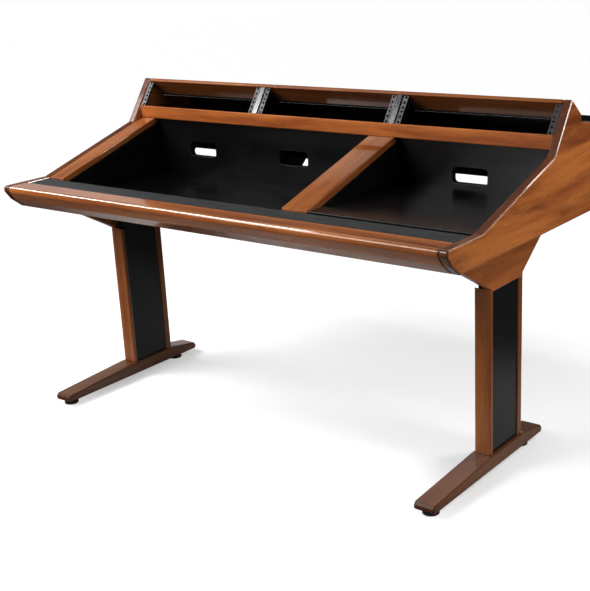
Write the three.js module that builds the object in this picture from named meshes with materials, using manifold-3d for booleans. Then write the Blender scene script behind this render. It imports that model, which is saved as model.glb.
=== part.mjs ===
// Studio desk: a worktop with a sunken console well, a computer bay and a raked row of
// 19 inch rack bays, on two T-shaped pedestals with screw levellers.
// Millimetres. X runs left to right, Y from front to back, Z up from the floor.

import * as THREE from 'three';
import { mergeVertices } from 'three/addons/utils/BufferGeometryUtils.js';
import Module from 'manifold-3d';

const wasm = await Module();
wasm.setup();

// General fits
const seat = 0.3;              // gap between two pieces that rest on each other
const overrun = 5;             // how far a cutter runs past what it cuts
const boardThickness = 18;     // carcass boards
const trimEase = 2;            // rounding on the edges of wooden trim
const roundSteps = 5;          // segments in a rounded corner
const easeSteps = 2;           // segments in an eased edge

// Rack standard
const rackPanelWidth = 482.6;
const rackUnitHeight = 44.45;
const rackUnits = 2;
const rackHoleMargin = 8.75;   // from a panel's end to the column of holes
const rackHolePitch = 15.875;  // between holes inside one unit
const rackHoleInset = 6.35;    // first hole above the unit's lower edge
const rackHoleRadius = 3.4;
const rackHolesPerUnit = 3;

// Overall width, from three rack bays side by side
const bayCount = 3;
const panelSlack = 2.7;
const openingSlack = 1.1;
const rackDividerThickness = 18;
const cheekThickness = 26;
const bayWidth = rackPanelWidth + 2 * panelSlack;
const halfInner = (bayCount * bayWidth + (bayCount - 1) * rackDividerThickness) / 2;
const halfOuter = halfInner + cheekThickness;

// Side profile, shared by both cheeks and all that lies between them
const worktopHeight = 710;
const apronHeight = 72;        // from the underside to the worktop
const railDepth = 68;
const armrestDepth = 90;
const slopeRun = 372;
const slopeAngle = THREE.MathUtils.degToRad(17);
const rakeLength = 162;
const rakeAngle = THREE.MathUtils.degToRad(35);
const rackTopThickness = 10;
const rackTopRun = 57;
const rackTopFall = THREE.MathUtils.degToRad(39);
const deckRun = 150;
const deckThickness = 16;
const deckFall = THREE.MathUtils.degToRad(10);
const deckRadius = 5;
const noseFace = 17;           // upright face at the front, from the worktop down
const chinDrop = 43;           // from the worktop to where the front chamfer starts
const chinSetback = 19;
const chamferSetback = 57;     // where the front chamfer meets the underside
const rearChamferRun = 70;
const rearChamferRise = 62;
const cheekEase = 4;
const noseRadius = 10;
const softRadius = 6;

// Front edge and the beds behind it
const armrestThickness = 17;
const armrestDrop = 1;
const armrestCrown = 3;        // the padded top falls this much towards its long edges
const armrestShoulder = 14;    // over this run
const armrestRadius = 12;
const armrestEase = 3;
const cleatWidth = 20;
const cleatInset = 2;          // a cleat stops this far short of each end

// Console well and computer bay
const wellTrimWidth = 62;
const dividerTrimWidth = 87;
const trimThickness = 18;
const portWidth = 110;
const portHeight = 46;
const portRadius = 12;
const portLift = 62;           // from the base board to the ports' lower edge
const portShares = [-0.66, -0.16, 0.66];   // of the half width, along the bridge wall

// Rack face
const railSheet = 2;
const railFlange = 20;
const railEndGap = 1.5;
const railWidth = 18.7;
const panelThickness = 3;      // a rack panel's front lies flush with the cheeks' edge
const holeSides = 12;

// Back
const rearPanelThickness = 16;
const rearPanelSetback = 12;
const rearPanelLift = 55;      // leaves a cable gap above the underside
const ventWidth = 8;
const ventHeight = 76;
const ventPitch = 22;
const ventsPerBay = 9;

// Pedestals
const legInset = 79;           // from the cheek's outer face to the pedestal's
const legFront = 337;
const legWidth = 48;
const frontPostDepth = 15;
const legCoreDepth = 136;
const rearPostDepth = 23;
const coreRecess = 4;
const postRadius = 5;
const bracketHeight = 132;     // from the posts' top to the underside
const bracketThickness = 18;
const bracketReach = 218;      // in front of the posts, along the underside
const bracketRearReach = 165;
const bracketHeelRise = 10;
const bracketEase = 3;
const plateThickness = 4;
const plateWidth = 78;
const plateMargin = 38;        // past the posts, front and back

// Feet and levellers
const footWidth = 60;
const footToe = 294;           // in front of the posts
const footHeel = 113;
const footUnderside = 15;
const footEndTop = 37;
const footMiddleTop = 53;
const footPadMargin = 11;      // the level top runs this far past the posts
const footBevel = 5;
const footEndChamfer = 8;
const footEase = 3;
const frontLevellerInset = 33; // from the foot's ends
const rearLevellerInset = 76;
const padRadius = 22;
const padHeight = 7;
const padRim = 5;
const padEase = 1;
const padNeckRadius = 11;
const socketDepth = 4;
const stemFootRadius = 6.5;
const stemRadius = 4;
const stemTop = 30;
const stemChamfer = 1;
const hexRadius = 7.5;
const hexLift = 1;             // from the pad to the spanner flats
const insertRadius = 6.2;
const insertTop = 33;
const insertFlangeRadius = 9.5;
const insertFlange = 1.5;
const insertBoreTop = 34;
const turnGap = 0.4;           // round what turns
const roundSides = 32;
const hexSides = 6;

// Materials
function finish(hex, roughness, metalness) {
  return new THREE.MeshStandardMaterial({ color: hex, roughness, metalness });
}
const veneer = finish(0xb5672c, 0.32, 0);
const leather = finish(0x1b1c1d, 0.42, 0);
const blackBoard = finish(0x121213, 0.6, 0);
const bareBoard = finish(0x8a6f50, 0.8, 0);
const blackSteel = finish(0x1a1a1b, 0.45, 0.7);
const zincSteel = finish(0xa8abad, 0.35, 0.9);
const padPlastic = finish(0x0f0f10, 0.55, 0);

// Places in the side profile
const undersideHeight = worktopHeight - apronHeight;
const kneeY = railDepth + armrestDepth;
const slopeAt = (y) => worktopHeight + (y - kneeY) * Math.tan(slopeAngle);
const rakeFoot = [kneeY + slopeRun, slopeAt(kneeY + slopeRun)];
const alongRake = (s) => [
  rakeFoot[0] + s * Math.sin(rakeAngle),
  rakeFoot[1] + s * Math.cos(rakeAngle),
];
const apex = alongRake(rakeLength);
const rackTopAt = (y) => apex[1] - (y - apex[0]) * Math.tan(rackTopFall);
const deckFront = apex[0] + rackTopRun;
const deskDepth = deckFront + deckRun;
const deckRise = deckThickness / Math.cos(deckFall);
const deckTopAt = (y) => rackTopAt(deckFront) - (y - deckFront) * Math.tan(deckFall);
const deckUnderAt = (y) => deckTopAt(y) - deckRise;
const baseTop = undersideHeight + boardThickness;
const bedTop = worktopHeight - armrestDrop;

// The rack opening, measured along the rake
const openingHeight = rackUnits * rackUnitHeight + openingSlack;
const openingStart = rakeLength - rackTopThickness - openingHeight;
const fasciaCorner = alongRake(openingStart);
const fasciaY = fasciaCorner[0];
const gearFloorAt = (y) => fasciaCorner[1] - (y - fasciaY) * Math.tan(rakeAngle);
const wallFront = fasciaY + boardThickness + seat;
const wallRear = wallFront + boardThickness;
const wallTop = gearFloorAt(wallRear) - openingSlack;
const rearPanelRear = deskDepth - rearPanelSetback;
const rearPanelFront = rearPanelRear - rearPanelThickness;
const baseRear = deskDepth - rearChamferRun - seat;

// Places across the width
const bayLeft = (i) => -halfInner + i * (bayWidth + rackDividerThickness);
const dividerTrimRight = bayLeft(bayCount - 1);
const dividerTrimLeft = dividerTrimRight - dividerTrimWidth;
const wellLeft = -halfInner + wellTrimWidth;

// Places in a pedestal
const legOuter = halfOuter - legInset;
const legInner = legOuter - legWidth;
const legRear = legFront + frontPostDepth + legCoreDepth + rearPostDepth;
const legTop = undersideHeight - bracketHeight;
const footFront = legFront - footToe;
const footRear = legRear + footHeel;

// A closed outline through corners [a, b, radius]; the radius rounds that corner.
function outline(corners) {
  const shape = new THREE.Shape();
  const points = corners.map(([a, b, r = 0]) => ({ p: new THREE.Vector2(a, b), r }));
  points.forEach(({ p, r }, i) => {
    const toLast = points.at(i - 1).p.clone().sub(p).normalize();
    const toNext = points[(i + 1) % points.length].p.clone().sub(p).normalize();
    const half = Math.acos(THREE.MathUtils.clamp(toLast.dot(toNext), -1, 1)) / 2;
    const reach = r / Math.tan(half);
    const start = p.clone().addScaledVector(toLast, reach);
    const end = p.clone().addScaledVector(toNext, reach);
    if (i === 0) shape.moveTo(start.x, start.y);
    else shape.lineTo(start.x, start.y);
    if (r > 0) shape.quadraticCurveTo(p.x, p.y, end.x, end.y);
  });
  shape.closePath();
  return shape;
}

// A rounded rectangle about a centre, as a path for a hole.
function slot(cx, cz, width, height, radius) {
  const w = width / 2;
  const h = height / 2;
  return outline([
    [cx - w, cz - h, radius],
    [cx + w, cz - h, radius],
    [cx + w, cz + h, radius],
    [cx - w, cz + h, radius],
  ]);
}

function extruded(shape, length, ease) {
  return new THREE.ExtrudeGeometry(shape, {
    depth: length - 2 * ease,
    curveSegments: roundSteps,
    bevelEnabled: ease > 0,
    bevelThickness: ease,
    bevelSize: ease,
    bevelOffset: -ease,
    bevelSegments: easeSteps,
  }).translate(0, 0, ease);
}

// A side-profile outline in (y, z), as a board of the given thickness along X from zero.
function sideBoard(corners, thickness, ease = 0) {
  const basis = new THREE.Matrix4().makeBasis(
    new THREE.Vector3(0, 1, 0),
    new THREE.Vector3(0, 0, 1),
    new THREE.Vector3(1, 0, 0),
  );
  return extruded(outline(corners), thickness, ease).applyMatrix4(basis);
}

// An elevation outline in (x, z), as a board of the given thickness along Y from zero.
function frontBoard(shape, thickness) {
  return extruded(shape, thickness, 0).rotateX(Math.PI / 2).translate(0, thickness, 0);
}

// Solids for the cuts
function toSolid(geometry) {
  const plain = geometry.clone();
  plain.deleteAttribute('normal');
  plain.deleteAttribute('uv');
  const merged = mergeVertices(plain);
  const vertProperties = Float32Array.from(merged.getAttribute('position').array);
  const triVerts = Uint32Array.from(merged.getIndex().array);
  return new wasm.Manifold(new wasm.Mesh({ numProp: 3, vertProperties, triVerts }));
}

function fromSolid(solid) {
  const mesh = solid.getMesh();
  const result = new THREE.BufferGeometry();
  result.setAttribute('position', new THREE.BufferAttribute(mesh.vertProperties, 3));
  result.setIndex(new THREE.BufferAttribute(mesh.triVerts, 1));
  const faceted = result.toNonIndexed();
  faceted.computeVertexNormals();
  return faceted;
}

function cutFrom(geometry, cutters) {
  let solid = toSolid(geometry);
  for (const cutter of cutters) solid = solid.subtract(toSolid(cutter));
  return fromSolid(solid);
}

function joined(first, second) {
  return fromSolid(toSolid(first).add(toSolid(second)));
}

// The desk, with its middle over the origin
const root = new THREE.Group();
const desk = new THREE.Group();
desk.position.y = -deskDepth / 2;
root.add(desk);

function place(name, geometry, material, x = 0, y = 0, z = 0, parent = desk) {
  const mesh = new THREE.Mesh(geometry, material);
  mesh.name = name;
  mesh.position.set(x, y, z);
  parent.add(mesh);
  return mesh;
}

// A rectangular board between two corners.
function board(name, material, [x0, x1], [y0, y1], [z0, z1]) {
  const geometry = new THREE.BoxGeometry(x1 - x0, y1 - y0, z1 - z0);
  return place(name, geometry, material, (x0 + x1) / 2, (y0 + y1) / 2, (z0 + z1) / 2);
}

// Cheeks and front rail share the nose
const noseCorners = [
  [chamferSetback, undersideHeight, softRadius],
  [chinSetback, worktopHeight - chinDrop, noseRadius],
  [0, worktopHeight - noseFace, noseRadius],
  [0, worktopHeight, noseRadius],
];

function addCheeks() {
  const notch = deckFront - seat;
  const corners = [
    [deskDepth - rearChamferRun, undersideHeight, softRadius],
    ...noseCorners,
    [kneeY, worktopHeight],
    rakeFoot,
    apex,
    [notch, rackTopAt(notch)],
    [notch, deckUnderAt(notch) - seat],
    [deskDepth, deckUnderAt(deskDepth) - seat],
    [deskDepth, undersideHeight + rearChamferRise, softRadius],
  ];
  place('left_cheek', sideBoard(corners, cheekThickness, cheekEase), veneer, -halfOuter);
  place('right_cheek', sideBoard(corners, cheekThickness, cheekEase), veneer, halfInner);
}

function addFrontEdge() {
  const length = 2 * (halfInner - seat);
  const railCorners = [
    ...noseCorners,
    [railDepth, worktopHeight, trimEase],
    [railDepth, undersideHeight],
  ];
  place('front_rail', sideBoard(railCorners, length), veneer, seat - halfInner);
  const rear = kneeY - seat;
  const front = railDepth + seat;
  const bottom = bedTop - armrestThickness;
  const padCorners = [
    [front, bottom],
    [rear, bottom],
    [rear, bedTop - armrestCrown, armrestEase],
    [rear - armrestShoulder, bedTop, armrestRadius],
    [front + armrestShoulder, bedTop, armrestRadius],
    [front, bedTop - armrestCrown, armrestEase],
  ];
  place('armrest', sideBoard(padCorners, length), leather, seat - halfInner);
  const ends = [cleatInset - halfInner, halfInner - cleatInset];
  const cleatTop = bottom - seat;
  const cleatZ = [cleatTop - boardThickness, cleatTop];
  board('armrest_cleat', bareBoard, ends, [front, front + cleatWidth], cleatZ);
  const inner = [seat - halfInner, halfInner - seat];
  board('well_front_wall', blackBoard, inner, [rear - boardThickness, rear], [baseTop + seat, cleatTop]);
  board('base_panel', blackBoard, inner, [front, baseRear], [undersideHeight, baseTop]);
}

// Sloping trims beside the well, in the plane of the cheeks' sloping edge
function addTrims() {
  const front = kneeY + seat;
  const rear = wallFront - seat;
  const drop = trimThickness / Math.cos(slopeAngle);
  const trimCorners = [
    [front, slopeAt(front) - drop],
    [rear, slopeAt(rear) - drop],
    [rear, slopeAt(rear)],
    [front, slopeAt(front)],
  ];
  const sideWidth = wellTrimWidth - seat;
  place('well_left_trim', sideBoard(trimCorners, sideWidth, trimEase), veneer, seat - halfInner);
  place('divider_trim', sideBoard(trimCorners, dividerTrimWidth, trimEase), veneer, dividerTrimLeft);
  const under = (y) => slopeAt(y) - drop - seat;
  const wallCorners = [
    [front, baseTop + seat],
    [rear, baseTop + seat],
    [rear, under(rear)],
    [front, under(front)],
  ];
  const wall = () => sideBoard(wallCorners, boardThickness);
  place('well_left_wall', wall(), blackBoard, wellLeft - boardThickness);
  place('divider_left_wall', wall(), blackBoard, dividerTrimLeft);
  place('divider_right_wall', wall(), blackBoard, dividerTrimRight - boardThickness);
}

function addComputerBay() {
  const left = dividerTrimRight + seat;
  const right = halfInner - seat;
  const front = kneeY + seat;
  const rear = wallFront - seat;
  const bottom = bedTop - boardThickness;
  board('laptop_bed', blackBoard, [left, right], [front, rear], [bottom, bedTop]);
  const cleatTop = bottom - seat;
  const cleatZ = [cleatTop - boardThickness, cleatTop];
  const cleatY = [front + cleatInset, rear - cleatInset];
  board('bed_cleat_left', bareBoard, [left, left + cleatWidth], cleatY, cleatZ);
  board('bed_cleat_right', bareBoard, [right - cleatWidth, right], cleatY, cleatZ);
}

// The wall under the rack row and the wooden fascia in front of it
function addBridge() {
  const left = seat - halfInner;
  const right = halfInner - seat;
  const bottom = baseTop + seat;
  const wall = outline([[left, bottom], [right, bottom], [right, wallTop], [left, wallTop]]);
  const portZ = bottom + portLift + portHeight / 2;
  for (const share of portShares) {
    wall.holes.push(slot(share * halfInner, portZ, portWidth, portHeight, portRadius));
  }
  place('bridge_wall', frontBoard(wall, boardThickness), blackBoard, 0, wallFront);
  const rear = fasciaY + boardThickness;
  const fasciaCorners = [
    [fasciaY, slopeAt(fasciaY) + seat],
    [rear, slopeAt(rear) + seat],
    [rear, gearFloorAt(rear)],
    fasciaCorner,
  ];
  place('fascia', sideBoard(fasciaCorners, right - left), veneer, left);
}

// Boards that part the rack bays, under the rack top and the rear deck
function addRackDividers() {
  const front = wallRear + seat;
  const rear = rearPanelFront - seat;
  const gearLift = seat / Math.cos(rakeAngle);
  const faceFoot = alongRake(openingStart + seat);
  const faceTop = alongRake(rakeLength - rackTopThickness - seat);
  const corners = [
    [front, baseTop + seat],
    [baseRear, baseTop + seat],
    [rear, undersideHeight + rearPanelLift],
    [rear, deckUnderAt(rear) - seat],
    [deckFront, deckUnderAt(deckFront) - seat],
    faceTop,
    faceFoot,
    [front, gearFloorAt(front) + gearLift],
  ];
  for (const [i, side] of ['left', 'right'].entries()) {
    const x = bayLeft(i + 1) - rackDividerThickness;
    place(`rack_divider_${side}`, sideBoard(corners, rackDividerThickness), blackBoard, x);
  }
}

// Perforated angle rails on the sides of the bays; z runs up the rake, y into the bay
function addRackRails() {
  const face = new THREE.Group();
  face.position.set(0, rakeFoot[0], rakeFoot[1]);
  face.rotation.x = -rakeAngle;
  desk.add(face);
  const length = rackUnits * rackUnitHeight - 2 * railEndGap;
  const holeX = panelSlack + rackHoleMargin - seat;
  const angle = outline([
    [0, panelThickness],
    [railWidth, panelThickness],
    [railWidth, panelThickness + railSheet],
    [railSheet, panelThickness + railSheet],
    [railSheet, panelThickness + railFlange],
    [0, panelThickness + railFlange],
  ]);
  const holes = [];
  for (let unit = 0; unit < rackUnits; unit += 1) {
    for (let hole = 0; hole < rackHolesPerUnit; hole += 1) {
      const z = unit * rackUnitHeight + rackHoleInset + hole * rackHolePitch - railEndGap;
      const depth = railSheet + 2 * overrun;
      holes.push(new THREE.CylinderGeometry(rackHoleRadius, rackHoleRadius, depth, holeSides)
        .translate(holeX, panelThickness, z));
    }
  }
  const rail = cutFrom(extruded(angle, length, 0), holes);
  for (let bay = 0; bay < bayCount; bay += 1) {
    const z = openingStart + openingSlack / 2 + railEndGap;
    const left = bayLeft(bay) + seat;
    const right = bayLeft(bay) + bayWidth - seat;
    const turned = rail.clone().rotateY(Math.PI).translate(0, 0, length);
    place(`rack_rail_${bay + 1}_left`, rail, blackSteel, left, 0, z, face);
    place(`rack_rail_${bay + 1}_right`, turned, blackSteel, right, 0, z, face);
  }
}

function addTopAndBack() {
  const left = seat - halfInner;
  const width = 2 * (halfInner - seat);
  const drop = rackTopThickness / Math.cos(rackTopFall);
  const end = deckFront - seat;
  const topCorners = [
    alongRake(rakeLength - rackTopThickness),
    [end, rackTopAt(end) - drop],
    [end, rackTopAt(end)],
    apex,
  ];
  place('rack_top', sideBoard(topCorners, width), veneer, left);
  const deckCorners = [
    [deckFront, deckUnderAt(deckFront)],
    [deskDepth, deckUnderAt(deskDepth)],
    [deskDepth, deckTopAt(deskDepth), deckRadius],
    [deckFront, deckTopAt(deckFront)],
  ];
  place('rear_deck', sideBoard(deckCorners, 2 * halfOuter, trimEase), blackBoard, -halfOuter);
  const bottom = undersideHeight + rearPanelLift;
  const top = deckUnderAt(rearPanelRear) - seat;
  const panel = outline([[left, bottom], [-left, bottom], [-left, top], [left, top]]);
  for (let bay = 0; bay < bayCount; bay += 1) {
    const middle = bayLeft(bay) + bayWidth / 2;
    for (let vent = 0; vent < ventsPerBay; vent += 1) {
      const x = middle + (vent - (ventsPerBay - 1) / 2) * ventPitch;
      panel.holes.push(slot(x, (bottom + top) / 2, ventWidth, ventHeight, ventWidth / 2 - seat));
    }
  }
  place('rear_panel', frontBoard(panel, rearPanelThickness), blackBoard, 0, rearPanelFront);
}

// One T-shaped pedestal; side is 1 for the right, -1 for the left
function addPedestal(name, side) {
  const bracketInner = legOuter - bracketThickness;
  const placed = (start, width) => (side > 0 ? start : -start - width);
  const coreFront = legFront + frontPostDepth;
  const rearPostFront = coreFront + legCoreDepth;

  const post = (depth, height) => {
    const section = outline([
      [0, 0, postRadius],
      [legWidth, 0, postRadius],
      [legWidth, depth, postRadius],
      [0, depth, postRadius],
    ]);
    return extruded(section, height, 0);
  };
  const postX = placed(legInner, legWidth);
  const postZ = footMiddleTop + seat;
  const postHeight = legTop - seat - postZ;
  const rearPost = post(rearPostDepth, postHeight);
  place(`${name}_rear_post`, rearPost, veneer, postX, rearPostFront, postZ);

  // The front post's top follows the bracket's slope.
  const slope = (undersideHeight - seat - legTop) / (bracketReach + frontPostDepth);
  const rise = (y) => postHeight + (frontPostDepth - y) * slope;
  const ceiling = rise(0) + overrun;
  const waste = sideBoard([
    [-overrun, rise(-overrun)],
    [frontPostDepth + overrun, rise(frontPostDepth + overrun)],
    [frontPostDepth + overrun, ceiling + overrun],
    [-overrun, ceiling + overrun],
  ], legWidth + 2 * overrun).translate(-overrun, 0, 0);
  const frontPost = cutFrom(post(frontPostDepth, ceiling), [waste]);
  place(`${name}_front_post`, frontPost, veneer, postX, legFront, postZ);

  const plateTop = undersideHeight - seat;
  const coreTop = plateTop - plateThickness - seat;
  const core = outline([
    [side * (legInner + coreRecess), postZ],
    [side * (legOuter - coreRecess), postZ],
    [side * (legOuter - coreRecess), legTop - seat],
    [side * (bracketInner - seat), legTop - seat],
    [side * (bracketInner - seat), coreTop],
    [side * (legInner + coreRecess), coreTop],
  ]);
  const coreY = coreFront + seat;
  place(`${name}_core`, frontBoard(core, legCoreDepth - 2 * seat), blackBoard, 0, coreY);

  const bracketCorners = [
    [coreFront, legTop],
    [legRear, legTop],
    [legRear, legTop + bracketHeelRise],
    [legRear + bracketRearReach, undersideHeight - seat],
    [legFront - bracketReach, undersideHeight - seat],
  ];
  const bracket = sideBoard(bracketCorners, bracketThickness, bracketEase);
  place(`${name}_bracket`, bracket, veneer, placed(bracketInner, bracketThickness));

  const plateX = placed(bracketInner - seat - plateWidth, plateWidth);
  const plateZ = [plateTop - plateThickness, plateTop];
  const plateY = [legFront - plateMargin, legRear + plateMargin];
  board(`${name}_mount_plate`, blackSteel, [plateX, plateX + plateWidth], plateY, plateZ);

  addFoot(name, (side * (legInner + legOuter)) / 2);
}

function addFoot(name, x) {
  const corners = [
    [footFront + footBevel, footUnderside],
    [footRear - footBevel, footUnderside],
    [footRear, footUnderside + footBevel],
    [footRear, footEndTop - footEndChamfer],
    [footRear - footEndChamfer, footEndTop],
    [legRear + footPadMargin, footMiddleTop],
    [legFront - footPadMargin, footMiddleTop],
    [footFront + footEndChamfer, footEndTop],
    [footFront, footEndTop - footEndChamfer],
    [footFront, footUnderside + footBevel],
  ];
  const blank = sideBoard(corners, footWidth, footEase).translate(-footWidth / 2, 0, 0);
  const boreHeight = insertBoreTop - footUnderside + overrun;
  const frontY = footFront + frontLevellerInset;
  const rearY = footRear - rearLevellerInset;
  const bores = [frontY, rearY].map((y) => {
    const radius = insertRadius + seat;
    const bore = new THREE.CylinderGeometry(radius, radius, boreHeight, roundSides);
    return bore.rotateX(Math.PI / 2).translate(0, y, insertBoreTop - boreHeight / 2);
  });
  place(`${name}_foot`, cutFrom(blank, bores), veneer, x);
  addLeveller(`${name}_front_leveller`, x, frontY);
  addLeveller(`${name}_rear_leveller`, x, rearY);
}

function turnedPart(profile, sides = roundSides) {
  const points = profile.map(([r, z]) => new THREE.Vector2(r, z));
  return new THREE.LatheGeometry(points, sides).rotateX(Math.PI / 2);
}

function addLeveller(name, x, y) {
  const socketRadius = stemFootRadius + turnGap;
  const socketFloor = padHeight - socketDepth;
  place(`${name}_pad`, turnedPart([
    [0, 0],
    [padRadius - padEase, 0],
    [padRadius, padEase],
    [padRadius, padRim],
    [padRadius - padEase, padRim + padEase],
    [padNeckRadius, padHeight],
    [socketRadius, padHeight],
    [socketRadius, socketFloor],
    [0, socketFloor],
  ]), padPlastic, x, y);

  const stemFoot = socketFloor + seat;
  const hexBottom = padHeight + hexLift;
  const flangeBottom = footUnderside - seat - insertFlange;
  const hexTop = flangeBottom - seat;
  const shank = turnedPart([
    [0, stemFoot],
    [stemFootRadius, stemFoot],
    [stemFootRadius, padHeight],
    [stemRadius, hexBottom],
    [stemRadius, stemTop - stemChamfer],
    [stemRadius - stemChamfer, stemTop],
    [0, stemTop],
  ]);
  const hex = new THREE.CylinderGeometry(hexRadius, hexRadius, hexTop - hexBottom, hexSides)
    .rotateX(Math.PI / 2)
    .translate(0, 0, (hexBottom + hexTop) / 2);
  place(`${name}_stem`, joined(shank, hex), zincSteel, x, y);

  const bore = stemRadius + turnGap;
  place(`${name}_insert`, turnedPart([
    [bore, flangeBottom],
    [insertFlangeRadius, flangeBottom],
    [insertFlangeRadius, flangeBottom + insertFlange],
    [insertRadius, flangeBottom + insertFlange],
    [insertRadius, insertTop],
    [bore, insertTop],
    [bore, flangeBottom],
  ]), zincSteel, x, y);
}

addCheeks();
addFrontEdge();
addTrims();
addComputerBay();
addBridge();
addRackDividers();
addRackRails();
addTopAndBack();
addPedestal('left', -1);
addPedestal('right', 1);

export default root;
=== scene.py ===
import math

import bmesh
import bpy
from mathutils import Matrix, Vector


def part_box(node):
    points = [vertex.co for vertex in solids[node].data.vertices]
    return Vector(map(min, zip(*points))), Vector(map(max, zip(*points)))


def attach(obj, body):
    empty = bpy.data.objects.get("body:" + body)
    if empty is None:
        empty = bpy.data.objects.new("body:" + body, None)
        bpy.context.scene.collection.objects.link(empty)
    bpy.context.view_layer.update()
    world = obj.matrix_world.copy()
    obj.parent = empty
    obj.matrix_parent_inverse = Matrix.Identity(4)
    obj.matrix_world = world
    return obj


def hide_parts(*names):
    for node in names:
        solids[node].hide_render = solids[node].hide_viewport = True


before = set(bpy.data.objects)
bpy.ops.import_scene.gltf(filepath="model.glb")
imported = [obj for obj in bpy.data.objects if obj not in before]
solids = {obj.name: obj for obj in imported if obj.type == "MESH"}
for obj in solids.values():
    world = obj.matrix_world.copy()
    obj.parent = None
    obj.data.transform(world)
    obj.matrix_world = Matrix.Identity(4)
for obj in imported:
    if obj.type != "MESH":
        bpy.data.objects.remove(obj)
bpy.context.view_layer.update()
print("frame loaded:", len(solids), "pieces")


# camera

photoCamera = {
    "location": (2.0135, -2.4624, 1.3782),
    "turn": (72.30, 2.50, 36.97),  # degrees about x, y and z
    "sensorWidth": 36,
    "lens": 68.362,
    "shiftX": -0.05,
    "reach": 100,  # metres that it sees
}


def addObject(name, data):
    thing = bpy.data.objects.new(name, data)
    bpy.context.scene.collection.objects.link(thing)
    return thing


def makeCamera():
    look = photoCamera
    camera = addObject("photoCamera", bpy.data.cameras.new("photoCamera"))
    camera.location = look["location"]
    camera.rotation_euler = [math.radians(angle) for angle in look["turn"]]
    camera.data.sensor_fit = "HORIZONTAL"
    camera.data.sensor_width = look["sensorWidth"]
    camera.data.lens = look["lens"]
    camera.data.shift_x = look["shiftX"]
    camera.data.clip_end = look["reach"]
    bpy.context.scene.camera = camera


# floor, sky and lamps

floorLook = {
    "size": 60.0,
    # the paint pales towards the desk: a painted pool of light, seen in what the lacquer reflects
    "near": (0.55, 0.55, 0.55, 1),
    "far": (0.05, 0.05, 0.05, 1),
    "roughness": 0.8,
    "glowNear": 0.46,  # what the camera sees on top of the lamps' light
    "glowFar": 0.97,
    "nearReach": 0.75,
    "farReach": 1.35,
    "reachShape": (0.8, 1.5, 1.0),  # the paler floor is wider than it is deep
    "reachShift": (0.0, -0.36, 0.0),
}


def makeFloor():
    look = floorLook
    half = look["size"] / 2
    mesh = bpy.data.meshes.new("studioFloor")
    corners = [(-half, -half, 0), (half, -half, 0), (half, half, 0), (-half, half, 0)]
    mesh.from_pydata(corners, [], [(0, 1, 2, 3)])
    floor = addObject("studioFloor", mesh)
    material, tree, shader = newMaterial("floorPaint", look["roughness"])
    spot = tree.nodes.new("ShaderNodeTexCoord").outputs["Object"]
    oval = vectorCalc(tree, "MULTIPLY_ADD", spot, look["reachShape"], look["reachShift"])
    away = remap(tree, vectorCalc(tree, "LENGTH", oval), look["nearReach"], look["farReach"])
    seen = tree.nodes.new("ShaderNodeLightPath").outputs["Is Camera Ray"]
    glow = calc(tree, "MULTIPLY_ADD", away, look["glowFar"] - look["glowNear"], look["glowNear"])
    paint = {
        # paler near the desk, darker away from it: painted pool of light
        "Base Color": mixColor(tree, away, look["near"], look["far"]),
        "Emission Color": (1, 1, 1, 1),
        "Emission Strength": calc(tree, "MULTIPLY", seen, glow),
    }
    feed(tree, shader, paint)
    mesh.materials.append(material)


skyLook = {
    "color": (0.97, 0.98, 1.0, 1),
    "strength": 0.09,
    "backdrop": 0.97,  # what the camera sees of it
    # a pale wall behind on the left, as a soft patch of the sky
    "wallDirection": (-0.78, 0.6, 0.2),
    "wallStrength": 0.6,
    "wallSpread": (0.9, 1.0),
    "gamma": 0.84,
}


def makeSky():
    look = skyLook
    world = bpy.data.worlds.new("studioSky")
    world.use_nodes = True
    tree = world.node_tree
    direction = tree.nodes.new("ShaderNodeTexCoord").outputs["Generated"]
    toWall = Vector(look["wallDirection"]).normalized()
    towards = vectorCalc(tree, "DOT_PRODUCT", direction, toWall)
    brightest = look["strength"] + look["wallStrength"]
    soft = remap(tree, towards, *look["wallSpread"], look["strength"], brightest)
    seen = tree.nodes.new("ShaderNodeLightPath").outputs["Is Camera Ray"]
    unseen = calc(tree, "SUBTRACT", 1.0, seen)
    shown = calc(tree, "MULTIPLY_ADD", seen, look["backdrop"], calc(tree, "MULTIPLY", soft, unseen))
    feed(tree, tree.nodes["Background"], {"Color": look["color"], "Strength": shown})
    scene = bpy.context.scene
    scene.world = world
    scene.view_settings.view_transform = "Standard"
    scene.view_settings.gamma = look["gamma"]


lampPlan = {
    # name, place, point it looks at, width, height, watts
    "lamps": (
        ("keyLamp", (-2.3, -2.9, 3.0), (0.0, -0.2, 0.6), 2.8, 2.0, 170),
        ("sideLamp", (3.2, 0.0, 1.5), (0.8, 0.3, 0.75), 0.9, 0.9, 42),
        ("cheekLamp", (2.1, 2.0, 2.3), (0.78, 0.0, 0.8), 0.7, 0.7, 44),
        ("fillLamp", (-0.8, -4.2, 1.0), (0.0, -0.3, 0.6), 1.6, 1.0, 52),
        ("backLamp", (-1.4, 3.6, 2.6), (0.0, 0.3, 0.6), 3.4, 2.4, 20),
    ),
    # the bright lines along the right cheek's edges: they show in that cheek's lacquer alone
    "glints": (
        ("slopeGlint", (1.8, 1.36, 2.36), (0.78, -0.15, 0.78), 1.8, 1.6, 150),
        ("rakeGlint", (2.0, -0.75, 2.7), (0.78, 0.15, 0.9), 1.3, 0.9, 95),
    ),
    # long lamps over the front, level with the rail, for the line of light along it:
    # middle along x, length, depth, watts
    "strips": ((-3.3, 3.7, 0.42, 140), (-1.05, 0.8, 0.14, 7)),
    "stripPlace": (-1.3, 3.0),  # along y and z
    "stripTilt": 18.0,
}


def addLamp(name, spot, turn, size, watts):
    lamp = bpy.data.lights.new(name, "AREA")
    lamp.shape = "RECTANGLE"
    lamp.size, lamp.size_y = size
    lamp.energy = watts
    holder = addObject(name, lamp)
    holder.location = spot
    holder.rotation_euler = turn
    holder.visible_camera = False
    return holder


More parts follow.
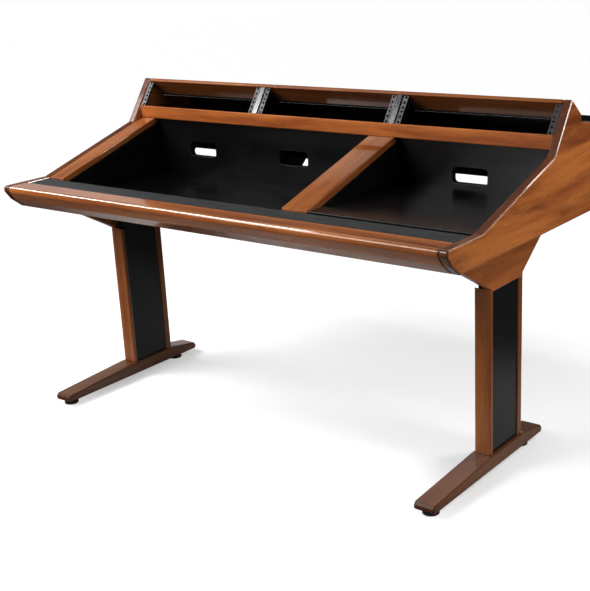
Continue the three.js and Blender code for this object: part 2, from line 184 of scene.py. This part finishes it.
def aimLamp(name, spot, target, width, height, watts):
    turn = (Vector(target) - Vector(spot)).to_track_quat("-Z", "Y").to_euler()
    return addLamp(name, spot, turn, (width, height), watts)


def makeLamps():
    plan = lampPlan
    for row in plan["lamps"]:
        aimLamp(*row)
    cheekOnly = bpy.data.collections.new("cheekOnly")
    cheekOnly.objects.link(solids["right_cheek"])
    for row in plan["glints"]:
        glint = aimLamp(*row)
        glint.visible_diffuse = False
        glint.light_linking.receiver_collection = cheekOnly
    tilt = (math.radians(plan["stripTilt"]), 0, 0)
    for number, (middle, length, depth, watts) in enumerate(plan["strips"], 1):
        addLamp(f"railStrip{number}", (middle, *plan["stripPlace"]), tilt, (length, depth), watts)


# node helpers; a tree is the node tree of a material, a group or the world


def newMaterial(name, roughness):
    material = bpy.data.materials.new(name)
    material.use_nodes = True
    tree = material.node_tree
    shader = tree.nodes["Principled BSDF"]
    shader.inputs["Roughness"].default_value = roughness
    return material, tree, shader


def newGroup(name, inputs, outputs):
    group = bpy.data.node_groups.new(name, "ShaderNodeTree")
    for label, kind, value in inputs:
        socket = group.interface.new_socket(label, in_out="INPUT", socket_type=kind)
        if value is not None:
            socket.default_value = value
    for label, kind in outputs:
        group.interface.new_socket(label, in_out="OUTPUT", socket_type=kind)
    return group, group.nodes.new("NodeGroupInput"), group.nodes.new("NodeGroupOutput")


def feed(tree, node, inputs):
    # each input is given by its label, or by its place where labels repeat
    for label, value in inputs.items():
        socket = node.inputs[label]
        if isinstance(value, bpy.types.NodeSocket):
            tree.links.new(value, socket)
        else:
            socket.default_value = value


def addNode(tree, kind, inputs, **settings):
    node = tree.nodes.new(kind)
    for name, value in settings.items():
        setattr(node, name, value)
    feed(tree, node, inputs)
    return node


def calc(tree, operation, *values, clamp=False):
    inputs = dict(enumerate(values))
    return addNode(tree, "ShaderNodeMath", inputs, operation=operation, use_clamp=clamp).outputs[0]


def vectorCalc(tree, operation, *values):
    node = addNode(tree, "ShaderNodeVectorMath", dict(enumerate(values)), operation=operation)
    return node.outputs["Value" if operation in ("DOT_PRODUCT", "LENGTH") else "Vector"]


def noise(tree, vector, scale=1.0, detail=2.0, roughness=0.5, distortion=0.0):
    inputs = {
        "Vector": vector,
        "Scale": scale,
        "Detail": detail,
        "Roughness": roughness,
        "Distortion": distortion,
    }
    return addNode(tree, "ShaderNodeTexNoise", inputs).outputs[0]


def remap(tree, value, low, high, newLow=0.0, newHigh=1.0):
    inputs = {"Value": value, "From Min": low, "From Max": high, "To Min": newLow, "To Max": newHigh}
    return addNode(tree, "ShaderNodeMapRange", inputs, interpolation_type="SMOOTHSTEP").outputs[0]


def mixColor(tree, factor, first, second):
    inputs = {0: factor, 6: first, 7: second}  # the places of the colour sockets
    return addNode(tree, "ShaderNodeMix", inputs, data_type="RGBA").outputs[2]


def tint(tree, color, mask, share, other):
    return mixColor(tree, calc(tree, "MULTIPLY", mask, share), color, other)


# shared effects; a noise is given by its detail, its roughness and, if any, its distortion

grainLook = {
    # slow drift bends the lines, as a sliced board shows
    "driftStretch": (2.2, 5.0, 5.0),
    "driftReach": 0.075,
    # stretch along and across the grain, noise, lowest and highest value, share of the tone
    "layers": {
        "rings": ((1.0, 46.0, 46.0), (3.0, 0.6), (0.3, 0.7), 0.3),
        "fibre": ((9.0, 430.0, 430.0), (4.0, 0.65), (0.3, 0.72), 0.2),
        "flames": ((1.9, 19.0, 19.0), (3.0, 0.55), (0.28, 0.68), 0.5),
    },
    "fibreHeight": 0.35,
    "poreStretch": (55.0, 1500.0, 1500.0),
    "poreRange": (0.6, 0.72),
    "poreShade": 0.4,
    "poreColor": (0.035, 0.012, 0.006, 1),
}


def makeGrain():
    # straight-grained veneer whose grain runs along x of the vector it is given
    look = grainLook
    inputs = (
        ("Vector", "NodeSocketVector", None),
        ("Light", "NodeSocketColor", (0.5, 0.2, 0.08, 1)),
        ("Dark", "NodeSocketColor", (0.2, 0.06, 0.02, 1)),
        ("Figure", "NodeSocketFloat", 1.0),
    )
    outputs = (("Color", "NodeSocketColor"), ("Height", "NodeSocketFloat"), ("Pores", "NodeSocketFloat"))
    tree, source, sink = newGroup("woodGrain", inputs, outputs)
    vector = source.outputs["Vector"]
    drift = noise(tree, vectorCalc(tree, "MULTIPLY", vector, look["driftStretch"]))
    lift = calc(tree, "MULTIPLY", calc(tree, "SUBTRACT", drift, 0.5), look["driftReach"])
    sideways = addNode(tree, "ShaderNodeCombineXYZ", {"X": 0.0, "Y": lift, "Z": lift}).outputs[0]
    bent = vectorCalc(tree, "ADD", vector, sideways)

    tones = {}
    mixed = None
    for name, (stretch, layerNoise, spread, share) in look["layers"].items():
        layer = noise(tree, vectorCalc(tree, "MULTIPLY", bent, stretch), 1.0, *layerNoise)
        tones[name] = remap(tree, layer, *spread)
        part = calc(tree, "MULTIPLY", tones[name], share)
        mixed = part if mixed is None else calc(tree, "ADD", mixed, part)
    centred = calc(tree, "SUBTRACT", mixed, 0.5)
    figured = calc(tree, "MULTIPLY_ADD", centred, source.outputs["Figure"], 0.5, clamp=True)
    body = mixColor(tree, figured, source.outputs["Dark"], source.outputs["Light"])

    pores = noise(tree, vectorCalc(tree, "MULTIPLY", bent, look["poreStretch"]), detail=1.0)
    poreMask = remap(tree, pores, *look["poreRange"])
    relief = calc(tree, "MULTIPLY", tones["fibre"], look["fibreHeight"])
    results = {
        "Color": tint(tree, body, poreMask, look["poreShade"], look["poreColor"]),
        "Height": calc(tree, "SUBTRACT", relief, poreMask),
        "Pores": poreMask,
    }
    feed(tree, sink, results)
    return tree


edgesLook = {
    "samples": 6,
    "cosines": (0.995, 0.86),  # between the eased and the flat normal, off and on an edge
    "patchNoise": (3.0, 0.6),
    "patchRange": (0.35, 0.7),
    "patchWear": (0.25, 1.0),
}


def makeEdges():
    # eases every edge in the normals, and finds the edges, broken up so that wear shows in patches
    look = edgesLook
    inputs = (
        ("Vector", "NodeSocketVector", None),
        ("Width", "NodeSocketFloat", 0.003),
        ("Breakup", "NodeSocketFloat", 40.0),
    )
    outputs = (("Mask", "NodeSocketFloat"), ("Rounded", "NodeSocketVector"))
    tree, source, sink = newGroup("edges", inputs, outputs)
    radius = {"Radius": source.outputs["Width"]}
    rounded = addNode(tree, "ShaderNodeBevel", radius, samples=look["samples"]).outputs[0]
    flat = tree.nodes.new("ShaderNodeNewGeometry").outputs["True Normal"]
    edge = remap(tree, vectorCalc(tree, "DOT_PRODUCT", rounded, flat), *look["cosines"])
    patches = noise(tree, source.outputs["Vector"], source.outputs["Breakup"], *look["patchNoise"])
    breakup = remap(tree, patches, *look["patchRange"], *look["patchWear"])
    feed(tree, sink, {"Mask": calc(tree, "MULTIPLY", edge, breakup), "Rounded": rounded})
    return tree


def makeCutFaces():
    # finds the faces that look along an axis, or the others where Low is more than High
    inputs = (
        ("Axis", "NodeSocketVector", (1, 0, 0)),
        ("Low", "NodeSocketFloat", 0.3),
        ("High", "NodeSocketFloat", 0.6),
    )
    tree, source, sink = newGroup("cutFaces", inputs, (("Mask", "NodeSocketFloat"),))
    normal = tree.nodes.new("ShaderNodeNewGeometry").outputs["True Normal"]
    along = calc(tree, "ABSOLUTE", vectorCalc(tree, "DOT_PRODUCT", normal, source.outputs["Axis"]))
    feed(tree, sink, {"Mask": remap(tree, along, source.outputs["Low"], source.outputs["High"])})
    return tree


handlingLook = {
    "cloudNoise": (4.0, 0.6, 0.6),
    "cloudRange": (0.35, 0.68),
    "upward": (0.55, 0.95),  # dust settles on what looks up
    "speckScale": 900.0,
    "speckRange": (0.62, 0.74),
}


def makeHandling():
    # faint cloudy marks and settled dust, for roughness and a breath of paler colour
    look = handlingLook
    inputs = (("Vector", "NodeSocketVector", None), ("Size", "NodeSocketFloat", 9.0))
    outputs = (("Clouds", "NodeSocketFloat"), ("Dust", "NodeSocketFloat"))
    tree, source, sink = newGroup("handling", inputs, outputs)
    clouds = noise(tree, source.outputs["Vector"], source.outputs["Size"], *look["cloudNoise"])
    normal = tree.nodes.new("ShaderNodeNewGeometry").outputs["True Normal"]
    split = addNode(tree, "ShaderNodeSeparateXYZ", {"Vector": normal})
    upward = remap(tree, split.outputs["Z"], *look["upward"])
    specks = noise(tree, source.outputs["Vector"], look["speckScale"], detail=1.0)
    results = {
        "Clouds": remap(tree, clouds, *look["cloudRange"]),
        "Dust": calc(tree, "MULTIPLY", upward, remap(tree, specks, *look["speckRange"])),
    }
    feed(tree, sink, results)
    return tree


stippleLook = {
    "fineNoise": (2.0, 0.6),
    "wideScale": 5.0,
    "wideNoise": (3.0, 0.55),
    "range": (0.3, 0.7),
}


def makeStipple():
    # fine raised texture of textured laminate, powder coat or moulded plastic
    look = stippleLook
    inputs = (("Vector", "NodeSocketVector", None), ("Scale", "NodeSocketFloat", 900.0))
    outputs = (("Height", "NodeSocketFloat"), ("Tone", "NodeSocketFloat"))
    tree, source, sink = newGroup("stipple", inputs, outputs)
    fine = noise(tree, source.outputs["Vector"], source.outputs["Scale"], *look["fineNoise"])
    wide = noise(tree, source.outputs["Vector"], look["wideScale"], *look["wideNoise"])
    results = {"Height": remap(tree, fine, *look["range"]), "Tone": remap(tree, wide, *look["range"])}
    feed(tree, sink, results)
    return tree


hideLook = {
    "warpScale": 260.0,
    "warpReach": 0.0016,
    "pebbleRange": (0.0, 0.28),  # from a crease to the top of a pebble
    "wrinkleStretch": (60.0, 26.0, 26.0),
    "wrinkleNoise": (4.0, 0.62, 0.8),
    "wrinkleRange": (0.36, 0.66),
    "wrinkleHeight": 0.8,
    "toneScale": 7.0,
    "toneNoise": (3.0, 0.6),
    "toneRange": (0.3, 0.7),
}


def makeHide():
    # pebbled leather: small cells with creases between them and a few longer wrinkles
    look = hideLook
    inputs = (("Vector", "NodeSocketVector", None), ("Scale", "NodeSocketFloat", 620.0))
    outputs = (("Height", "NodeSocketFloat"), ("Creases", "NodeSocketFloat"), ("Tone", "NodeSocketFloat"))
    tree, source, sink = newGroup("hide", inputs, outputs)
    vector = source.outputs["Vector"]
    warp = addNode(tree, "ShaderNodeTexNoise", {"Vector": vector, "Scale": look["warpScale"]})
    push = vectorCalc(tree, "MULTIPLY", warp.outputs["Color"], [look["warpReach"]] * 3)
    cellInputs = {"Vector": vectorCalc(tree, "ADD", vector, push), "Scale": source.outputs["Scale"]}
    cells = addNode(tree, "ShaderNodeTexVoronoi", cellInputs, feature="DISTANCE_TO_EDGE")
    pebbles = remap(tree, cells.outputs["Distance"], *look["pebbleRange"])
    stretched = vectorCalc(tree, "MULTIPLY", vector, look["wrinkleStretch"])
    wrinkles = remap(tree, noise(tree, stretched, 1.0, *look["wrinkleNoise"]), *look["wrinkleRange"])
    tone = noise(tree, vector, look["toneScale"], *look["toneNoise"])
    results = {
        "Height": calc(tree, "MULTIPLY_ADD", wrinkles, look["wrinkleHeight"], pebbles),
        "Creases": calc(tree, "SUBTRACT", 1.0, pebbles, clamp=True),
        "Tone": remap(tree, tone, *look["toneRange"]),
    }
    feed(tree, sink, results)
    return tree


effects = {
    "grain": makeGrain(),
    "edges": makeEdges(),
    "cutFaces": makeCutFaces(),
    "handling": makeHandling(),
    "stipple": makeStipple(),
    "hide": makeHide(),
}
print("shared effects ready")


def placeEffect(tree, effect, inputs):
    return addNode(tree, "ShaderNodeGroup", inputs, node_tree=effects[effect]).outputs


# finishes


def shade(color, tone):
    return tuple(min(1.0, channel * tone) for channel in color[:3]) + (1,)


def cloudyRoughness(tree, clouds, middle, spread):
    return calc(tree, "MULTIPLY_ADD", clouds, spread, middle - spread / 2)


veneerFinish = {
    "light": (0.42, 0.153, 0.039, 1),
    "dark": (0.15, 0.037, 0.009, 1),
    # darker cut faces: stain, and on the cheeks' top bands also painted shade
    "cutStainAndShade": (0.05, 0.014, 0.008, 1),
    "specular": 0.14,
    "roughness": 0.42,
    "roughnessSpread": 0.14,
    "poreRoughness": 0.12,
    "coat": 0.85,
    "coatRoughness": 0.07,
    "bump": 0.12,
    "bumpDistance": 0.0002,
    "edgeWidth": 0.0065,
    "edgeBreakup": 24.0,
    # lighter edges: worn lacquer and a painted highlight
    "edgeWearAndHighlight": (0.5, 0.18, 0.05, 1),
    "edgeStrength": 0.12,
    "marks": 8.0,
    "dust": 0.03,
    "dustColor": (0.55, 0.5, 0.45, 1),
}

grainTurn = {
    "across": (0, 0, 0),  # along the desk's width
    "deep": (0, 0, -90),  # front to back
    "sloped": (-15, 0, -90),  # front to back, rising with the wells
    "upright": (0, 90, 0),
}

logStep = (1.0, 0.37, 0.61)  # the way through the log, so that no two boards are cut alike

# axis, and where the faces that look along it start and stop counting
cutFaces = {
    "edges": ((1, 0, 0), 0.8, 0.4),  # all but a cheek's two sides
    "ends": ((0, 1, 0), 0.3, 0.6),  # a foot's end grain
}

# each board's grain direction, place in the log, tone and figure, and for its cut faces
# how much darker they are and the coat; the tones also hold painted light and shade, set board by board
# to how bright each looks where it stands, so the right bracket and right front post are lighter than
# their left twins
veneerBoards = {
    "left_cheek": ("deep", 3.1, 1.1, 1.5, ("edges", 0.8, 0.15)),
    "right_cheek": ("deep", 7.7, 1.27, 1.5, ("edges", 0.8, 0.85)),
    "front_rail": ("across", 1.3, 1.08, 1.1, None),
    "well_left_trim": ("sloped", 5.2, 0.95, 1.0, None),
    "divider_trim": ("sloped", 6.4, 0.95, 1.0, None),
    "fascia": ("across", 9.1, 1.3, 1.0, None),
    "rack_top": ("across", 4.4, 0.9, 0.9, None),
    "left_bracket": ("deep", 2.6, 1.1, 0.8, None),
    "right_bracket": ("deep", 11.9, 1.4, 0.8, None),
    "left_front_post": ("upright", 12.3, 0.72, 0.9, None),
    "left_rear_post": ("upright", 13.7, 0.72, 0.9, None),
    "right_front_post": ("upright", 14.2, 0.9, 0.9, None),
    "right_rear_post": ("upright", 15.8, 0.76, 0.9, None),
    "left_foot": ("deep", 16.4, 0.4, 0.8, ("ends", 0.7, 0.15)),
    "right_foot": ("deep", 17.9, 0.44, 0.8, ("ends", 0.7, 0.15)),
}


def veneerMaterial(name, direction, offset, tone, figure, cut):
    look = veneerFinish
    material, tree, shader = newMaterial("veneer_" + name, look["roughness"])
    coordinates = tree.nodes.new("ShaderNodeTexCoord").outputs["Object"]
    mapping = {
        "Vector": coordinates,
        "Location": [offset * step for step in logStep],
        "Rotation": [math.radians(angle) for angle in grainTurn[direction]],
    }
    wood = {
        "Vector": addNode(tree, "ShaderNodeMapping", mapping).outputs[0],
        "Light": shade(look["light"], tone),
        "Dark": shade(look["dark"], tone),
        "Figure": figure,
    }
    grain = placeEffect(tree, "grain", wood)
    bevel = {"Vector": coordinates, "Width": look["edgeWidth"], "Breakup": look["edgeBreakup"]}
    edges = placeEffect(tree, "edges", bevel)
    handling = placeEffect(tree, "handling", {"Vector": coordinates, "Size": look["marks"]})

    shader.inputs["Coat Weight"].default_value = look["coat"]
    color = grain["Color"]
    if cut:
        # cut faces are darker: end grain takes more stain, and on the cheeks' top bands the darkening is
        # also painted shade; the coat on them is set board by board
        faces, depth, cutCoat = cut
        axis, low, high = cutFaces[faces]
        mask = placeEffect(tree, "cutFaces", {"Axis": axis, "Low": low, "High": high})["Mask"]
        color = tint(tree, color, mask, depth, look["cutStainAndShade"])
        coat = calc(tree, "MULTIPLY_ADD", mask, cutCoat - look["coat"], look["coat"])
        feed(tree, shader, {"Coat Weight": coat})
    # lighter edges: partly worn lacquer, partly a painted highlight along the rounded edges
    color = tint(tree, color, edges["Mask"], look["edgeStrength"], shade(look["edgeWearAndHighlight"], tone))
    color = tint(tree, color, handling["Dust"], look["dust"], look["dustColor"])
    rough = cloudyRoughness(tree, handling["Clouds"], look["roughness"], look["roughnessSpread"])
    bump = {
        "Height": grain["Height"],
        "Strength": look["bump"],
        "Distance": look["bumpDistance"],
        "Normal": edges["Rounded"],
    }
    finish = {
        "Base Color": color,
        "Roughness": calc(tree, "MULTIPLY_ADD", grain["Pores"], look["poreRoughness"], rough, clamp=True),
        "Normal": addNode(tree, "ShaderNodeBump", bump).outputs[0],
        "Specular IOR Level": look["specular"],
        "Coat Roughness": look["coatRoughness"],
    }
    feed(tree, shader, finish)
    return material


# colours run from "color" to "pale" in soft patches; "spread" is how far the roughness strays
plainFinishes = {
    "black_board": {
        "color": (0.0032, 0.0032, 0.0035, 1),
        "pale": (0.0065, 0.0066, 0.0072, 1),
        "roughness": 0.2,
        "spread": 0.05,
        "scale": 1400.0,
        "bump": 0.03,
        "specular": 0.5,
        "dust": 0.003,
        "metallic": 0.0,
        "edge": (0.03, 0.03, 0.032, 1),
    },
    "bare_board": {
        "color": (0.33, 0.22, 0.13, 1),
        "pale": (0.5, 0.37, 0.23, 1),
        "roughness": 0.78,
        "spread": 0.1,
        "scale": 320.0,
        "bump": 0.5,
        "specular": 0.3,
        "dust": 0.03,
        "metallic": 0.0,
        "edge": (0.55, 0.43, 0.29, 1),
    },
    "black_steel": {
        "color": (0.011, 0.011, 0.012, 1),
        "pale": (0.025, 0.025, 0.027, 1),
        "roughness": 0.42,
        "spread": 0.12,
        "scale": 1700.0,
        "bump": 0.25,
        "specular": 0.45,
        "dust": 0.006,
        "metallic": 0.0,
        "edge": (0.16, 0.16, 0.165, 1),
    },
    "zinc_steel": {
        "color": (0.46, 0.46, 0.47, 1),
        "pale": (0.62, 0.62, 0.61, 1),
        "roughness": 0.3,
        "spread": 0.14,
        "scale": 700.0,
        "bump": 0.12,
        "specular": 0.5,
        "dust": 0.02,
        "metallic": 1.0,
        "edge": (0.75, 0.75, 0.75, 1),
    },
    "black_plastic": {
        "color": (0.012, 0.012, 0.013, 1),
        "pale": (0.024, 0.024, 0.025, 1),
        "roughness": 0.5,
        "spread": 0.12,
        "scale": 1500.0,
        "bump": 0.3,
        "specular": 0.4,
        "dust": 0.02,
        "metallic": 0.0,
        "edge": (0.05, 0.05, 0.052, 1),
    },
}

plainWear = {
    "marks": 14.0,
    "edgeWidth": 0.0016,
    "edgeBreakup": 90.0,
    "edgeStrength": 0.4,
    "dustColor": (0.4, 0.39, 0.37, 1),
    "bumpDistance": 0.00015,
}

thread = {
    "pitch": 0.00125,  # metres
    "weight": 3.0,  # beside the metal's own stipple
    "bump": 0.8,
    "bumpDistance": 0.0004,
}


def plainMaterial(name, look, threaded=False):
    wear = plainWear
    material, tree, shader = newMaterial(name, look["roughness"])
    coordinates = tree.nodes.new("ShaderNodeTexCoord").outputs["Object"]
    stipple = placeEffect(tree, "stipple", {"Vector": coordinates, "Scale": look["scale"]})
    handling = placeEffect(tree, "handling", {"Vector": coordinates, "Size": wear["marks"]})
    bevel = {"Vector": coordinates, "Width": wear["edgeWidth"], "Breakup": wear["edgeBreakup"]}
    edges = placeEffect(tree, "edges", bevel)
    color = mixColor(tree, stipple["Tone"], look["color"], look["pale"])
    color = tint(tree, color, edges["Mask"], wear["edgeStrength"], look["edge"])
    color = tint(tree, color, handling["Dust"], look["dust"], wear["dustColor"])
    bump = {
        "Height": stipple["Height"],
        "Strength": look["bump"],
        "Distance": wear["bumpDistance"],
        "Normal": edges["Rounded"],
    }
    if threaded:
        split = addNode(tree, "ShaderNodeSeparateXYZ", {"Vector": coordinates})
        turns = calc(tree, "MULTIPLY", split.outputs["Z"], 2 * math.pi / thread["pitch"])
        ridges = calc(tree, "SINE", turns)
        bump["Height"] = calc(tree, "MULTIPLY_ADD", ridges, thread["weight"], stipple["Height"])
        bump["Strength"] = thread["bump"]
        bump["Distance"] = thread["bumpDistance"]
    finish = {
        "Base Color": color,
        "Roughness": cloudyRoughness(tree, handling["Clouds"], look["roughness"], look["spread"]),
        "Normal": addNode(tree, "ShaderNodeBump", bump).outputs[0],
        "Metallic": look["metallic"],
        "Specular IOR Level": look["specular"],
    }
    feed(tree, shader, finish)
    return material


leatherFinish = {
    "color": (0.011, 0.0145, 0.0155, 1),
    "pale": (0.022, 0.0275, 0.029, 1),
    # colour of the creases: painted shade
    "crease": (0.004, 0.0052, 0.0055, 1),
    "creaseShade": 0.85,
    "creaseRoughness": 0.2,
    "specular": 0.6,
    "roughness": 0.38,
    "roughnessSpread": 0.12,
    "sheen": 0.06,
    "sheenRoughness": 0.4,
    "sheenTint": (0.75, 0.9, 0.95, 1),
    "scale": 560.0,
    "marks": 11.0,
    "bump": 0.8,
    "bumpDistance": 0.0004,
}


def leatherMaterial():
    look = leatherFinish
    material, tree, shader = newMaterial("armrestLeather", look["roughness"])
    coordinates = tree.nodes.new("ShaderNodeTexCoord").outputs["Object"]
    hide = placeEffect(tree, "hide", {"Vector": coordinates, "Scale": look["scale"]})
    handling = placeEffect(tree, "handling", {"Vector": coordinates, "Size": look["marks"]})
    body = mixColor(tree, hide["Tone"], look["color"], look["pale"])
    rough = cloudyRoughness(tree, handling["Clouds"], look["roughness"], look["roughnessSpread"])
    creased = calc(tree, "MULTIPLY_ADD", hide["Creases"], look["creaseRoughness"], rough, clamp=True)
    bump = {"Height": hide["Height"], "Strength": look["bump"], "Distance": look["bumpDistance"]}
    finish = {
        # creases darkened towards a deeper black: painted shade in the creases
        "Base Color": tint(tree, body, hide["Creases"], look["creaseShade"], look["crease"]),
        "Roughness": creased,
        "Normal": addNode(tree, "ShaderNodeBump", bump).outputs[0],
        "Specular IOR Level": look["specular"],
        "Sheen Weight": look["sheen"],
        "Sheen Roughness": look["sheenRoughness"],
        "Sheen Tint": look["sheenTint"],
    }
    feed(tree, shader, finish)
    return material


def dressSolids():
    shared = {name: plainMaterial(name, look) for name, look in plainFinishes.items()}
    threaded = plainMaterial("threaded_steel", plainFinishes["zinc_steel"], threaded=True)
    for name, solid in solids.items():
        if name in veneerBoards:
            finish = veneerMaterial(name, *veneerBoards[name])
        elif name.endswith("_stem"):
            finish = threaded
        elif name.endswith("_pad"):
            finish = shared["black_plastic"]
        elif name.endswith("_insert"):
            finish = shared["zinc_steel"]
        elif name.startswith("rack_rail") or name.endswith("_mount_plate"):
            finish = shared["black_steel"]
        elif "cleat" in name:
            finish = shared["bare_board"]
        else:
            finish = shared["black_board"]
        for holder in solid.material_slots:
            holder.material = finish
    return shared


# mesh helpers


def skin(mesh, rings):
    # joins each ring of points to the next, closes both ends and gives back the strips between
    strips = []
    for first, second in zip(rings, rings[1:]):
        count = len(first)
        strip = []
        for step in range(count):
            after = (step + 1) % count
            corners = (first[step], first[after], second[after], second[step])
            strip.append(mesh.faces.new(corners))
        strips.append(strip)
    mesh.faces.new(rings[0][::-1])
    mesh.faces.new(rings[-1])
    return strips


def finishMesh(name, mesh, material):
    data = bpy.data.meshes.new(name)
    mesh.to_mesh(data)
    mesh.free()
    data.materials.append(material)
    return addObject(name, data)


# armrest

armrestPad = {
    "endGap": 0.0008,
    "crown": 0.003,
    "shoulderPower": 10.0,
    "shoulderCurve": 0.45,
    "stepsAlong": 220,
    "stepsAcross": 30,
    "endRound": 0.006,
    "endHeight": 0.25,  # share of the height that is left at the very ends
    "drawIn": 0.0006,
    "ripple": 0.00035,
    # share, rate along the pad, lean across it and start of each wave in the cover
    "waves": ((1.0, 37.0, 5, 0.0), (0.7, 83.0, -3, 1.7), (0.5, 151.0, 0, 2.1)),
    "baseShares": (0.9, 0.4, -0.4, -0.9),  # points across the underside
    "fill": 0.85,
}


def padHeight(x, s, rise, fall):
    # s runs from -1 at the front edge to 1 at the rear one
    look = armrestPad
    bulge = 1 - s * s
    shoulder = max(0.0, 1 - abs(s) ** look["shoulderPower"]) ** look["shoulderCurve"]
    lowered = look["endHeight"] + (1 - look["endHeight"]) * fall
    wave = 0.0
    for share, rate, lean, start in look["waves"]:
        wave += share * math.sin(x * rate + lean * s + start)
    height = (rise * shoulder + look["crown"] * bulge) * lowered
    height += look["ripple"] * wave * bulge * fall - 2 * look["ripple"] * bulge
    return max(0.0, height)


def makeArmrest():
    look = armrestPad
    low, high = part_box("armrest")
    length = high.x - low.x - 2 * look["endGap"]
    width = high.y - low.y
    rise = high.z - low.z - look["crown"]
    middle = (low + high) / 2
    mesh = bmesh.new()
    rings = []
    for step in range(look["stepsAlong"] + 1):
        # rings crowd together towards the ends, where the cover turns down
        t = -math.cos(math.pi * step / look["stepsAlong"])
        x = middle.x + length / 2 * t
        fromEnd = length / 2 * (1 - abs(t))
        turn = min(1.0, fromEnd / look["endRound"])
        fall = math.sqrt(max(0.0, 1 - (1 - turn) ** 2))
        halfWidth = width / 2 - look["drawIn"] * (1 - fall)
        ring = []
        for across in range(look["stepsAcross"] + 1):
            s = -math.cos(math.pi * across / look["stepsAcross"])
            point = (x, middle.y + halfWidth * s, low.z + padHeight(x, s, rise, fall))
            ring.append(mesh.verts.new(point))
        for s in look["baseShares"]:
            ring.append(mesh.verts.new((x, middle.y + halfWidth * s, low.z)))
        rings.append(ring)
    skin(mesh, rings)
    bmesh.ops.recalc_face_normals(mesh, faces=mesh.faces)
    for face in mesh.faces:
        face.smooth = len(face.verts) == 4
    pad = finishMesh("armrest_pad", mesh, leatherMaterial())
    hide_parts("armrest")
    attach(pad, "desk")


# screws

screwHead = {
    "radius": 0.0042,
    "rim": 0.0003,
    "dome": 0.0011,
    "sink": 0.0004,
    "shoulders": ((0.9, 0.62), (0.68, 1.0)),  # shares of the radius and of the dome
    "socketRadius": 0.0019,
    "socketLip": ((1.08, 1.0), (1.0, 0.82)),  # shares of the socket's radius and of the dome
    "socketDepth": 0.0016,
    "sides": 24,
}


def addScrew(mesh, centre, normal, radius):
    # a low domed head with a hexagonal socket, its rim just inside the surface
    look = screwHead
    scale = radius / look["radius"]
    outward = Vector(normal).normalized()
    side = outward.orthogonal().normalized()
    other = outward.cross(side)
    # distance from the middle, height, and whether the ring is hexagonal
    outline = [(look["radius"], -look["sink"], False), (look["radius"], look["rim"], False)]
    for share, lift in look["shoulders"]:
        outline.append((look["radius"] * share, look["dome"] * lift, False))
    for share, lift in look["socketLip"]:
        outline.append((look["socketRadius"] * share, look["dome"] * lift, True))
    outline.append((look["socketRadius"], look["dome"] - look["socketDepth"], True))
    rings = []
    for distance, height, hexagonal in outline:
        ring = []
        for step in range(look["sides"]):
            angle = 2 * math.pi * step / look["sides"]
            reach = distance
            if hexagonal:
                fold = (angle % (math.pi / 3)) - math.pi / 6
                reach = distance * math.cos(math.pi / 6) / math.cos(fold)
            point = Vector(centre) + outward * height * scale
            point += (side * math.cos(angle) + other * math.sin(angle)) * reach * scale
            ring.append(mesh.verts.new(point))
        rings.append(ring)
    strips = skin(mesh, rings)
    for face in strips[1] + strips[2]:  # the dome
        face.smooth = True


def finishScrews(name, mesh, metal):
    screws = finishMesh(name, mesh, metal)
    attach(screws, "desk")


plateScrews = {
    "radius": 0.0052,
    "inset": 0.013,
    "count": 3,  # along the edge that clears the leg
}


def makePlateScrews(metal):
    look = plateScrews
    for side in ("left", "right"):
        low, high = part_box(side + "_mount_plate")
        mesh = bmesh.new()
        x = high.x - look["inset"] if side == "left" else low.x + look["inset"]
        for step in range(look["count"]):
            share = step / (look["count"] - 1)
            y = low.y + look["inset"] + (high.y - low.y - 2 * look["inset"]) * share
            addScrew(mesh, (x, y, low.z), (0, 0, -1), look["radius"])
        finishScrews(side + "_plate_screws", mesh, metal)


panelScrews = {
    "radius": 0.0045,
    "inset": 0.011,
}


def makePanelScrews(metal):
    look = panelScrews
    low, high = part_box("rear_panel")
    dividers = []
    for side in ("left", "right"):
        near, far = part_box("rack_divider_" + side)
        dividers.append((near.x + far.x) / 2)
    mesh = bmesh.new()
    for x in (low.x + look["inset"], *dividers, high.x - look["inset"]):
        for z in (low.z + look["inset"], high.z - look["inset"]):
            addScrew(mesh, (x, high.y, z), (0, 1, 0), look["radius"])
    finishScrews("rear_panel_screws", mesh, metal)


railScrews = {
    "radius": 0.0038,
    "depth": 0.012,  # behind the rail's front
    "sheet": 0.002,  # thickness of the rail's steel
    "flange": 0.02,  # width of the side that is screwed on
    "rake": 35.0,  # degrees from upright
    "shares": (0.22, 0.78),  # of the rail's run
}


def makeRailScrews(metal):
    look = railScrews
    rake = math.radians(look["rake"])
    upward = Vector((0, math.sin(rake), math.cos(rake)))
    backward = Vector((0, math.cos(rake), -math.sin(rake)))
    for bay in (1, 2, 3):
        for side, inward in (("left", 1), ("right", -1)):
            node = f"rack_rail_{bay}_{side}"
            low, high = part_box(node)
            edge = low.x + look["sheet"] if side == "left" else high.x - look["sheet"]
            run = (high.y - low.y - look["flange"] * math.cos(rake)) / math.sin(rake)
            foot = Vector((0, low.y, low.z + look["flange"] * math.sin(rake)))
            mesh = bmesh.new()
            for share in look["shares"]:
                centre = foot + upward * run * share + backward * look["depth"]
                addScrew(mesh, (edge, centre.y, centre.z), (inward, 0, 0), look["radius"])
            finishScrews(node + "_screws", mesh, metal)


makeCamera()
makeFloor()
makeSky()
makeLamps()
print("camera and studio ready")
finishes = dressSolids()
print("solids dressed")
makeArmrest()
print("armrest padded")
makePlateScrews(finishes["zinc_steel"])
makePanelScrews(finishes["zinc_steel"])
makeRailScrews(finishes["zinc_steel"])
print("screws set")
